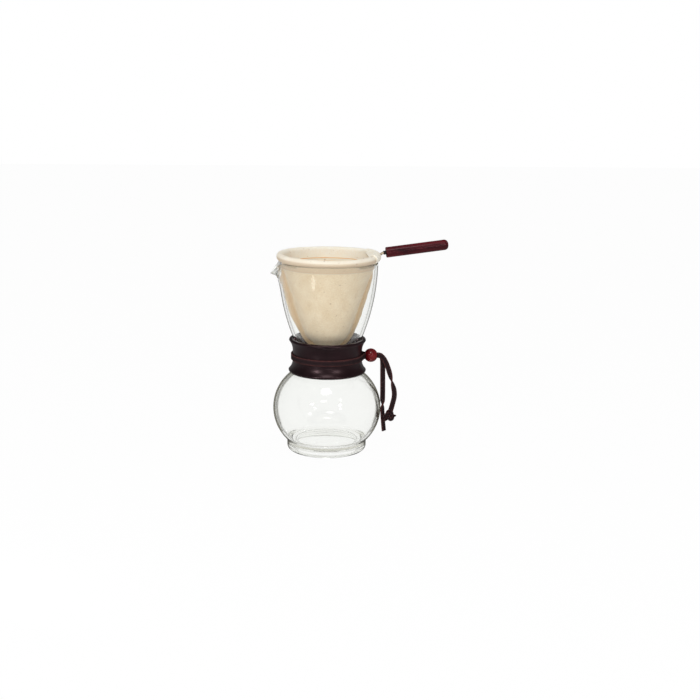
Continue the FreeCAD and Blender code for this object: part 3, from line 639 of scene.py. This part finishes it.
def make_bead():
    half = math.degrees(math.asin(BEAD_BORE / BEAD_RADIUS))
    ball = [Vector((x, 0, z)) for x, z in arc(0, 0, BEAD_RADIUS, half + 3, 177 - half, 40)]
    reach = ball[0].x - BORE_EDGE * 0.6
    hole = [Vector((-reach, 0, BEAD_BORE)), Vector((reach, 0, BEAD_BORE))]
    bm = bmesh.new()
    vertices = [bm.verts.new(place) for place in [*ball, *hole]]
    edges = [bm.edges.new(pair) for pair in zip(vertices, [*vertices[1:], vertices[0]])]
    bmesh.ops.spin(bm, geom=vertices + edges, cent=(0, 0, 0), axis=(1, 0, 0), angle=2 * math.pi,
                   steps=64, use_merge=True)
    bmesh.ops.remove_doubles(bm, verts=bm.verts, dist=1e-7)
    bmesh.ops.recalc_face_normals(bm, faces=bm.faces)
    bmesh.ops.translate(bm, verts=bm.verts, vec=BEAD_CENTRE)
    return bm


bead = finish_piece("lace_bead", make_bead(), "tie", bead_finish(), ["tie_bead"])

# %% [markdown]
# The knot is a tight overhand knot. Its turns follow the curve of a three-lobed knot, scaled down until the lace's
# turns press together, and the lace's two short ends come out of the lump.

# %% Knot
KNOT_SCALE = 1.5 * MM
KNOT_DEPTH = 1.6 * MM
KNOT_LACE = 3.9 * MM
knot_end = knotted_points[-1]
knot_down = direction(knotted_points, len(knotted_points) - 1)
knot_right = (Vector((1, 0, 0)) - knot_down * knot_down.x).normalized()
knot_front = knot_right.cross(knot_down)
knot_middle = knot_end + knot_down * (4.2 * MM)


def knot_place(right, down, front):
    """A point given from the knot's middle."""
    return knot_middle + knot_right * right + knot_down * down + knot_front * front


def knot_turns():
    """Points along the three-lobed knot, closed on itself."""
    places = []
    for step in range(73):
        turn = 2 * math.pi * step / 72
        right = KNOT_SCALE * (math.sin(turn) + 2 * math.sin(2 * turn))
        down = KNOT_SCALE * (math.cos(turn) - 2 * math.cos(2 * turn))
        places.append(knot_place(right, down, KNOT_DEPTH * math.sin(3 * turn)))
    return places


def flat_sides(points):
    """Width directions that keep a lace facing the knot's front."""
    return [direction(points, index).cross(knot_front).normalized() for index in range(len(points))]


def make_knot():
    bm = bmesh.new()
    turns = knot_turns()
    add_lace(bm, turns, flat_sides(turns), [KNOT_LACE] * len(turns))
    ends = {
        "pointed": [(0, 1, 0.3), (-1.2, 3.4, 0.8), (-2.6, 5.8, 0.2), (-3.9, 7.9, -0.4)],
        "short": [(0.8, 0, 0.2), (3.2, -0.6, 0.5), (5.4, -1.0, 0.2), (7.0, -1.9, -0.3)],
    }
    for name, route in ends.items():
        line = spline_points(name, [knot_place(*(Vector(place) * MM)) for place in route], 8)
        last = len(line) - 1
        widths = [LACE_WIDTH * (0.8 - 0.62 * (index / last) ** 2) for index in range(len(line))]
        add_lace(bm, line, flat_sides(line), widths)
    return bm


knot = finish_piece("lace_knot", make_knot(), "tie", suede, ["tie_knot"])

# %% [markdown]
# The filter cloth is napped cotton flannel, unbleached, with small dark flecks of seed husk. Its weave follows the
# cloth, so every panel carries the distance along its threads in metres.


# %% Flannel finish
THREAD = 0.00045


def flannel_finish(name, pale, deep, doubled_shade):
    """Cotton between two tones, darkened to a painted shade where the piece says so: doubled cloth, for the light
    that passes through it less.
    """
    material, tree, shader = make_material(name, Roughness=0.95, Sheen_Weight=0.12, Sheen_Roughness=0.6)
    weave = add_node(tree, "ShaderNodeAttribute", attribute_name="weave").outputs["Vector"]
    split = add_node(tree, "ShaderNodeSeparateXYZ")
    tree.links.new(weave, split.inputs["Vector"])
    turns = 2 * math.pi / THREAD
    warp = math_node(tree, "SINE", math_node(tree, "MULTIPLY", split.outputs["X"], turns))
    weft = math_node(tree, "SINE", math_node(tree, "MULTIPLY", split.outputs["Y"], turns))
    threads = math_node(tree, "MULTIPLY", warp, weft)
    nap = object_noise(tree, 760, 5)
    cloudy = object_noise(tree, 90, 4)
    flecks = object_noise(tree, 420, 1)
    fleck = math_node(tree, "GREATER_THAN", flecks, 0.74)
    tone = math_node(tree, "MULTIPLY_ADD", nap, 0.55, math_node(tree, "MULTIPLY", cloudy, 0.45))
    base = ramp(tree, tone, [(0.36, deep), (0.62, pale)])
    layers = add_node(tree, "ShaderNodeAttribute", attribute_name="doubled_shade").outputs["Fac"]
    # Painted shade: doubled cloth and the hem below its roll take a darker colour that stands in for less light on
    # and through them.
    shaded_base = mix_colour(tree, layers, base, doubled_shade)
    spotted = mix_colour(tree, math_node(tree, "MULTIPLY", fleck, 0.55), shaded_base, colour(176, 140, 100))
    tree.links.new(spotted, shader.inputs["Base Color"])
    creases = math_node(tree, "MULTIPLY_ADD", nap, 1.5, math_node(tree, "MULTIPLY", cloudy, 9.0))
    height = math_node(tree, "MULTIPLY_ADD", threads, 0.5, creases)
    add_bump(tree, shader, height, 0.4, 0.0003)
    return material


# The third colour of each finish is a painted shade for doubled and shaded cloth, not a colour of the flannel.
flannel = flannel_finish("flannel", colour(248, 230, 202), colour(236, 212, 178), colour(222, 192, 152))
# The hem's cloth is the same flannel made paler, a painted lightening that offsets the shade on the hem's inside
# band and the tab.
hem_cloth_brightened = flannel_finish("hem_cloth_brightened", colour(255, 251, 237), colour(252, 243, 223), colour(226, 205, 178))

# %% [markdown]
# The bag is two panels sewn along a U, with the seam left as a flange on the outside. A panel is half a turn of a
# cone with a round tip; its threads, small folds and flange are added to that form.

# %% Bag panels
hem_low, hem_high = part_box("filter_hem")
panel_low, panel_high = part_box("filter_panel_front")
BAG_TOP = panel_high.z / MM + 1
BAG_TOP_RADIUS = 45.2
CLOTH = 0.9
TIP_RADIUS = 25.0
FLANGE = 4.5
FLANGE_GAP = 0.5
TIP_MIDDLE = panel_low.z / MM + FLANGE + TIP_RADIUS
BAG_LENGTH = BAG_TOP - TIP_MIDDLE + TIP_RADIUS
SIDE_STEPS, TIP_STEPS = 60, 40


def bag_profile():
    """Side and round tip of the bag from the hem to the lowest point."""
    up = BAG_TOP - TIP_MIDDLE
    reach = math.hypot(BAG_TOP_RADIUS, up)
    touch = math.degrees(math.atan2(up, BAG_TOP_RADIUS) - math.acos(TIP_RADIUS / reach))
    tip = arc(0, TIP_MIDDLE, TIP_RADIUS, touch, -90, TIP_STEPS)
    side = [(BAG_TOP_RADIUS + (tip[0][0] - BAG_TOP_RADIUS) * step / SIDE_STEPS,
             BAG_TOP + (tip[0][1] - BAG_TOP) * step / SIDE_STEPS) for step in range(SIDE_STEPS)]
    return side + tip


def fold_depth(angle, share, seed):
    """Soft hanging folds and dents in millimetres: none at the hem, most beside the seams."""
    seam = abs(math.cos(angle)) ** 3
    body = smooth_step(0.02, 0.3, share)
    spot = Vector((math.cos(angle) * 1.6, math.sin(angle) * 1.6, share * 2.4 + seed))
    dents = noise.noise(spot) * 1.5 + noise.noise(spot * 2.6) * 0.6 + noise.noise(spot * 7) * 0.3
    ripple = math.sin(7 * angle + 0.7) * 0.5 * seam
    return body * (dents * (0.6 + 0.8 * seam) + ripple)


def bend_panel(bm, sign):
    """Lay the threads and push the folds into one half of the cone."""
    weave = bm.verts.layers.float_vector.new("weave")
    for vertex in bm.verts:
        radius = math.hypot(vertex.co.x, vertex.co.y)
        angle = math.atan2(vertex.co.y, vertex.co.x)
        share = (BAG_TOP - vertex.co.z / MM) / BAG_LENGTH
        vertex[weave] = ((angle - sign * math.pi / 2) * radius, share * BAG_LENGTH * 1.1 * MM, 0)
        if radius > 1e-6:
            flat = Vector((vertex.co.x, vertex.co.y, 0)) / radius
            fade = min(radius / (15 * MM), 1)
            vertex.co += flat * (fold_depth(angle, share, sign) * fade * MM)


def spare_cloth(place, share):
    """The flange is cut wider half way down, most of all on the lip's side."""
    middle = smooth_step(0.08, 0.3, share) * smooth_step(0.85, 0.55, share)
    return middle * (1.6 if place.x < 0 else 0.3)


def add_flange(bm, sign):
    """Extend the seam's edges outwards in the middle plane."""
    weave = bm.verts.layers.float_vector["weave"]
    doubled_shade = bm.verts.layers.float.new("doubled_shade")
    seam = [edge for edge in bm.edges if edge.is_boundary
            and all(abs(vertex.co.y) < 0.2 * MM for vertex in edge.verts)]
    for row in range(3):
        made = bmesh.ops.extrude_edge_only(bm, edges=seam)["geom"]
        seam = [item for item in made if isinstance(item, bmesh.types.BMEdge)]
        for vertex in {v for edge in seam for v in edge.verts}:
            middle = Vector((0, 0, max(TIP_MIDDLE * MM, vertex.co.z - 0.26 * abs(vertex.co.x))))
            out = (Vector((vertex.co.x, 0, vertex.co.z)) - middle).normalized()
            share = (BAG_TOP - vertex.co.z / MM) / BAG_LENGTH
            step = FLANGE / 3 * (0.25 + 0.75 * smooth_step(0.0, 0.16, share)) + spare_cloth(vertex.co, share)
            vertex.co += out * (step * MM)
            # Painted shade: the flange takes the darker colour of doubled cloth, a little less towards its edge.
            vertex[doubled_shade] = 1.0 - 0.15 * row
            vertex.co.y += 0.35 * MM * noise.noise(vertex.co * 60) * row
            vertex[weave] = vertex[weave] + Vector((step * MM, 0, 0))
        seam = [edge for edge in seam if edge.is_boundary and len(edge.link_faces) == 1
                and all(v.co.z < BAG_TOP * MM + 1 for v in edge.verts)]
        seam = [edge for edge in seam if is_outer(edge)]
    for vertex in bm.verts:
        if sign * vertex.co.y < FLANGE_GAP * MM:
            vertex.co.y = sign * FLANGE_GAP * MM


def is_outer(edge):
    """True for the edges that run along the seam, and not for those across the flange at the hem."""
    first, last = (vertex.co for vertex in edge.verts)
    return abs(first.z - last.z) > 0.2 * MM or max(first.z, last.z) < TIP_MIDDLE * MM


def make_panel(name, node, start, sign):
    bm = turn(bag_profile(), 90, math.pi, start)
    bend_panel(bm, sign)
    add_flange(bm, sign)
    bmesh.ops.recalc_face_normals(bm, faces=bm.faces)
    piece = finish_piece(name, bm, "filter", flannel, [node])
    add_modifier(piece, "SOLIDIFY", thickness=CLOTH * MM, offset=0)
    return piece


panel_front = make_panel("bag_front", "filter_panel_front", math.pi, -1)
panel_rear = make_panel("bag_rear", "filter_panel_rear", 0, 1)

# %% [markdown]
# The hem is the top of the bag folded over the wire ring and sewn down: a thick roll, and below it a doubled band
# as far as the stitches. Where the legs leave, a flat tab of the same cloth closes the end.

# %% Hem and tab
RING_RADIUS = 48.3
HEM_ROLL = 3.5
RING_HEIGHT = hem_high.z / MM - 3
ROLL_HEIGHT = RING_HEIGHT + 0.6
HEM_BOTTOM = hem_low.z / MM
HEM_INNER = RING_RADIUS - HEM_ROLL - 0.3
HEM_OUTER = HEM_INNER + 1.9
TAB_CHORD = 40.0
TAB_HALF = math.radians(29)


def hem_lift(angle):
    """The hem rises to its two ends and a little to the back."""
    return 0.9 * math.cos(angle) ** 2 + 0.5 * max(math.sin(angle), 0) - 0.2


def hem_lump(angle, height):
    """Lumps of the rolled cloth, the same each time."""
    spot = Vector((math.cos(angle) * 3, math.sin(angle) * 3, height * 0.2))
    return noise.noise(spot * 2.2) * 0.3 + noise.noise(spot * 6) * 0.14


def set_hem_shape(bm):
    weave = bm.verts.layers.float_vector.new("weave")
    doubled_shade = bm.verts.layers.float.new("doubled_shade")
    for vertex in bm.verts:
        radius = math.hypot(vertex.co.x, vertex.co.y)
        angle = math.atan2(vertex.co.y, vertex.co.x)
        height = vertex.co.z / MM
        vertex[weave] = (angle * RING_RADIUS * MM, (radius - RING_RADIUS * MM) + vertex.co.z, 0)
        outside = smooth_step(HEM_INNER + 0.9, HEM_OUTER - 0.2, radius / MM)
        below = smooth_step(ROLL_HEIGHT + 1.8, ROLL_HEIGHT - 0.8, height)
        # Painted shade: the outer band and the roll's underside take the darker colour, and the outer half of the
        # roll a quarter of it.
        vertex[doubled_shade] = max(outside * below, 0.25 * smooth_step(RING_RADIUS - 2, RING_RADIUS + 1, radius / MM))
        roll = smooth_step(ROLL_HEIGHT - HEM_ROLL, ROLL_HEIGHT, height)
        lump = hem_lump(angle, height)
        flat = Vector((vertex.co.x, vertex.co.y, 0)) / radius
        vertex.co += flat * (lump * (0.35 + 0.65 * roll) * MM)
        vertex.co.z += (hem_lift(angle) + 0.4 * lump) * roll * MM


def make_hem():
    """A roll round the wire with a doubled band below it."""
    edge = 0.8
    profile = [
        *arc(HEM_INNER + edge, HEM_BOTTOM + edge, edge, 180, 360, 8),
        (HEM_OUTER - 0.2, HEM_BOTTOM + 2.4),
        (HEM_OUTER + 0.1, HEM_BOTTOM + 4.6),
        *arc(RING_RADIUS, ROLL_HEIGHT, HEM_ROLL, -118, 176, 30),
        (HEM_INNER + 0.15, HEM_BOTTOM + 6),
        (HEM_INNER, HEM_BOTTOM + 3),
    ]
    bm = turn([*profile, profile[0]], 240)
    set_hem_shape(bm)
    return bm


def make_tab():
    """Cloth from a straight edge across the ring, over the roll and down its outside."""
    over = arc(RING_RADIUS, ROLL_HEIGHT, HEM_ROLL + 0.55, 150, -110, 24)
    start = over[0][0]
    flat = [(TAB_CHORD + (start - TAB_CHORD) * step / 10, ROLL_HEIGHT + 0.2 + 1.9 * (step / 10) ** 2)
            for step in range(10)]
    bm = turn([*flat, *over], 48, 2 * TAB_HALF, -TAB_HALF)
    weave = bm.verts.layers.float_vector.new("weave")
    for vertex in bm.verts:
        radius = math.hypot(vertex.co.x, vertex.co.y) / MM
        angle = math.atan2(vertex.co.y, vertex.co.x)
        if vertex.co.z / MM > ROLL_HEIGHT and radius < start:
            share = (radius - TAB_CHORD) / (start - TAB_CHORD)
            chord = TAB_CHORD / math.cos(angle)
            scale = (chord + (start - chord) * share) / radius
            vertex.co.x *= scale
            vertex.co.y *= scale
        vertex[weave] = (vertex.co.y, vertex.co.x + vertex.co.z, 0)
        vertex.co.z += (hem_lift(angle) + 0.3 * hem_lump(angle, 0)) * MM
    return bm


hem = finish_piece("hem_roll", make_hem(), "filter", hem_cloth_brightened, ["filter_hem"])
tab = finish_piece("handle_tab", make_tab(), "filter", hem_cloth_brightened)
add_modifier(tab, "SOLIDIFY", thickness=0.9 * MM, offset=0)

# %% [markdown]
# The hem is sewn down with one row of small stitches, seen as thread outside and inside; the inside row is also a
# painted shadow line.

# %% Stitches
STITCH_COUNT = 112
STITCH_SIZE = Vector((0.85, 0.2, 0.22)) * MM


def stitch_row(name, radius, height, material, size):
    bm = bmesh.new()
    for number in range(STITCH_COUNT):
        angle = 2 * math.pi * number / STITCH_COUNT
        lean = Matrix.Rotation(0.12 * noise.noise(Vector((number, 0, 0))), 4, "Y")
        place = Vector((math.cos(angle) * radius, math.sin(angle) * radius, height)) * MM
        matrix = (Matrix.Translation(place) @ Matrix.Rotation(angle + math.pi / 2, 4, "Z") @ lean
                  @ Matrix.Diagonal((*STITCH_SIZE * size, 1)))
        bmesh.ops.create_uvsphere(bm, u_segments=8, v_segments=6, radius=1, matrix=matrix)
    return finish_piece(name, bm, "filter", material)


thread, thread_tree, thread_shader = make_material("thread", Roughness=0.7, Base_Color=colour(226, 186, 150))
# The inner row is larger and deeper orange than the thread: partly thread, partly a painted shadow line along the
# hem's lower inside edge.
inner_thread_and_shadow, _, _ = make_material("inner_thread_and_shadow", Roughness=0.7, Base_Color=colour(236, 184, 106))
outer_stitches = stitch_row("stitches_outside", HEM_OUTER - 0.12, HEM_BOTTOM + 1.5, thread, 1.0)
inner_stitches = stitch_row("stitches_inside", HEM_INNER + 0.02, HEM_BOTTOM + 3.2, inner_thread_and_shadow, 1.8)

# %% [markdown]
# The handle is a turned dowel, square at the ring and round at the far end. The wire and its ferrule are the
# frame's own solids with a better finish.

# %% Handle and wire
GRIP_TILT = math.radians(7.4)
GRIP_RADIUS = 5.3
GRIP_LENGTH = 63.5
GRIP_FACE = Vector((58.1, 0, 203.5)) * MM
handle_wood = lacquered_wood("handle_wood", colour(36, 9, 14), colour(128, 34, 44), (0.1, 1, 1),
                             (0, GRIP_TILT, 0), 60, 0.3)


def make_grip():
    outline = [(0, 2.2), *arc(0.6, GRIP_RADIUS - 0.6, 0.6, 180, 90, 5),
               *arc(GRIP_LENGTH - 4, GRIP_RADIUS - 4, 4, 90, 0, 12), (GRIP_LENGTH, 0)]
    bm = bmesh.new()
    vertices = [bm.verts.new(Vector((x, 0, z)) * MM) for x, z in [(4, 2.2), *outline]]
    edges = [bm.edges.new(pair) for pair in zip(vertices, vertices[1:])]
    bmesh.ops.spin(bm, geom=vertices + edges, cent=(0, 0, 0), axis=(1, 0, 0), angle=2 * math.pi,
                   steps=64, use_merge=True)
    bmesh.ops.remove_doubles(bm, verts=bm.verts, dist=1e-7)
    bmesh.ops.recalc_face_normals(bm, faces=bm.faces)
    place = Matrix.Translation(GRIP_FACE) @ Matrix.Rotation(-GRIP_TILT, 4, "Y")
    bmesh.ops.transform(bm, matrix=place, verts=bm.verts)
    return bm


grip = finish_piece("handle", make_grip(), "filter", handle_wood, ["handle_grip"])


def metal_finish(name, dark, light, metallic, roughness):
    material, tree, shader = make_material(name, Metallic=metallic, Roughness=roughness)
    worn = object_noise(tree, 700, 5)
    tree.links.new(ramp(tree, worn, [(0.35, dark), (0.7, light)]), shader.inputs["Base Color"])
    add_bump(tree, shader, worn, 0.15, 0.0002)
    return material


wire_metal = metal_finish("tinned_wire", colour(186, 170, 142), colour(226, 212, 184), 0.6, 0.4)
ferrule_paint = metal_finish("ferrule_paint", colour(14, 11, 12), colour(34, 28, 28), 0.3, 0.45)
for node, finish in (("ring_wire", wire_metal), ("handle_ferrule", ferrule_paint)):
    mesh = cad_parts[node].data
    mesh.materials.clear()
    mesh.materials.append(finish)

# %% [markdown]
# The studio: a pale floor, a bright even surround and two large soft lamps. The floor and the surround are plain
# white to the eye and to glass, while the lamps alone set how bright the pot is.

# %% Floor, surround and lamps
HORIZON, ZENITH = 0.2, 0.66
FLOOR_WHITE = 0.965
MIRRORED, CEILING = 0.3, 0.08
WHITE = (1, 1, 1, 1)


def seen_rays(tree):
    """1 for what is seen directly or through glass, and 1 for what is seen at all, reflections too."""
    path = add_node(tree, "ShaderNodeLightPath")
    straight = math_node(tree, "MAXIMUM", path.outputs["Is Camera Ray"], path.outputs["Is Transmission Ray"])
    return straight, math_node(tree, "MAXIMUM", straight, path.outputs["Is Glossy Ray"])


def make_floor():
    bm = bmesh.new()
    bmesh.ops.create_grid(bm, x_segments=1, y_segments=1, size=4)
    mesh = bpy.data.meshes.new("floor")
    bm.to_mesh(mesh)
    bm.free()
    floor = bpy.data.objects.new("floor", mesh)
    floor.location.z = -0.0002
    bpy.context.scene.collection.objects.link(floor)
    material, tree, shader = make_material("floor_paper", Base_Color=(0.9, 0.9, 0.9, 1), Roughness=0.9)
    white = add_node(tree, "ShaderNodeEmission", Color=WHITE)
    mix = add_node(tree, "ShaderNodeMixShader")
    straight, seen = seen_rays(tree)
    tree.links.new(math_node(tree, "MAXIMUM", straight, MIRRORED), white.inputs["Strength"])
    tree.links.new(math_node(tree, "MULTIPLY", seen, FLOOR_WHITE), mix.inputs["Fac"])
    tree.links.new(shader.outputs["BSDF"], mix.inputs[1])
    tree.links.new(white.outputs["Emission"], mix.inputs[2])
    tree.links.new(mix.outputs["Shader"], tree.nodes["Material Output"].inputs["Surface"])
    mesh.materials.append(material)


def make_surround():
    """A white room that lights the pot at a plain level; reflections show it dimmer, and most so its ceiling."""
    world = bpy.data.worlds.new("studio")
    bpy.context.scene.world = world
    world.use_nodes = True
    tree = world.node_tree
    background = tree.nodes["Background"]
    background.inputs["Color"].default_value = WHITE
    split = add_node(tree, "ShaderNodeSeparateXYZ")
    tree.links.new(add_node(tree, "ShaderNodeTexCoord").outputs["Generated"], split.inputs["Vector"])
    straight, seen = seen_rays(tree)
    mirrored = fade(tree, split.outputs["Z"], -0.05, 0.3, MIRRORED, CEILING)
    ambient = fade(tree, split.outputs["Z"], 0.0, 0.9, HORIZON, ZENITH)
    brighter = math_node(tree, "SUBTRACT", math_node(tree, "MAXIMUM", straight, mirrored), ambient)
    strength = math_node(tree, "MULTIPLY_ADD", seen, brighter, ambient)
    tree.links.new(strength, background.inputs["Strength"])


def add_lamp(name, place, size, power):
    data = bpy.data.lights.new(name, "AREA")
    data.shape = "ELLIPSE"
    data.size, data.size_y = size
    data.energy = power
    lamp = bpy.data.objects.new(name, data)
    lamp.location = place
    aim = Vector((0, 0, 0.12)) - lamp.location
    lamp.rotation_euler = aim.to_track_quat("-Z", "Y").to_euler()
    lamp.visible_camera = False
    bpy.context.scene.collection.objects.link(lamp)


make_floor()
make_surround()
add_lamp("overhead", Vector((-0.1, -0.68, 1.3)), (0.5, 0.5), 3.7)
add_lamp("front_left", Vector((-0.73, -0.91, 0.58)), (0.13, 0.16), 3.6)
add_lamp("front_right", Vector((0.5, -1.06, 0.58)), (0.12, 0.15), 2.3)
add_lamp("front_strip", Vector((0.05, -1.3, 0.22)), (0.4, 0.14), 0.6)
add_lamp("low_left", Vector((-0.297, -0.37, 0.047)), (0.075, 0.084), 0.052)
light_paths = bpy.context.scene.cycles
light_paths.max_bounces = 40
light_paths.glossy_bounces = 32
light_paths.transmission_bounces = 32
bpy.context.scene.view_settings.view_transform = "Standard"
